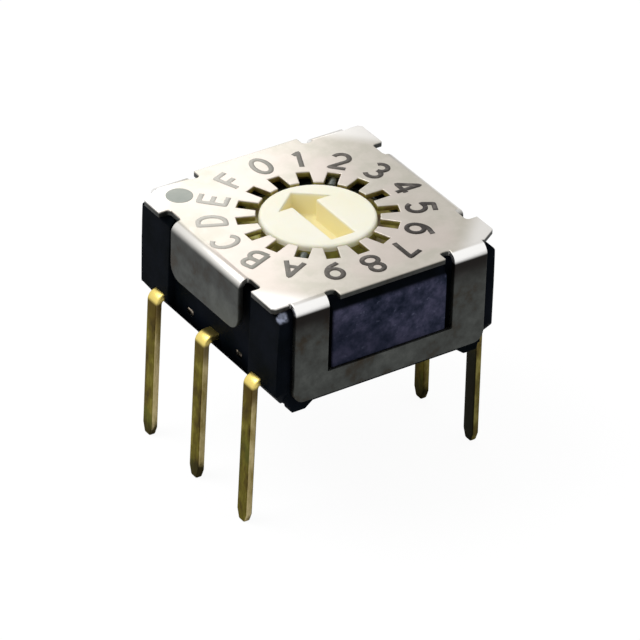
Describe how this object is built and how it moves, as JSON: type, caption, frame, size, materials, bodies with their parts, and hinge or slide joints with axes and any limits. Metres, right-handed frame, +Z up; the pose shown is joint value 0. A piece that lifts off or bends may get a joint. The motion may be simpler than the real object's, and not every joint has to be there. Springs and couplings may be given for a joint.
{
  "type": "rotary dip switch",
  "caption": "Small square rotary coding switch: bent metal cover with a slotted dial, cream rotor with an arrow recess, dark moulded housing and gold through-hole leads.",
  "frame": {"origin": "middle of the part in plan, at the plane of the lead tips", "axes": "+X across the two lead rows, +Y along the rows towards dial position 0, +Z up through the rotor"},
  "size_m": [0.0081, 0.0076, 0.0076],
  "materials": {
    "cover_metal": "nickel-plated sheet, satin",
    "housing_plastic": "moulded, black with a blue cast",
    "rotor_plastic": "moulded, cream",
    "spring_metal": "bare stainless spring strip",
    "contact_gold": "gold-plated",
    "terminal_gold": "gold-plated strip, slightly dull"
  },
  "bodies": {
    "case": {"cover": "cover_metal", "housing": "housing_plastic", "terminal_common": "terminal_gold", "terminal_1": "terminal_gold", "terminal_2": "terminal_gold", "terminal_4": "terminal_gold", "terminal_8": "terminal_gold"},
    "dial": {"rotor": "rotor_plastic", "detent_spring": "spring_metal", "contact_disc": "contact_gold"}
  },
  "joints": [
    {"name": "dial_turn", "type": "hinge", "parent": "case", "child": "dial", "pos_m": [0, 0, 0.006], "axis": [0, 0, 1], "continuous": true, "deforming": ["detent_spring"]}
  ]
}
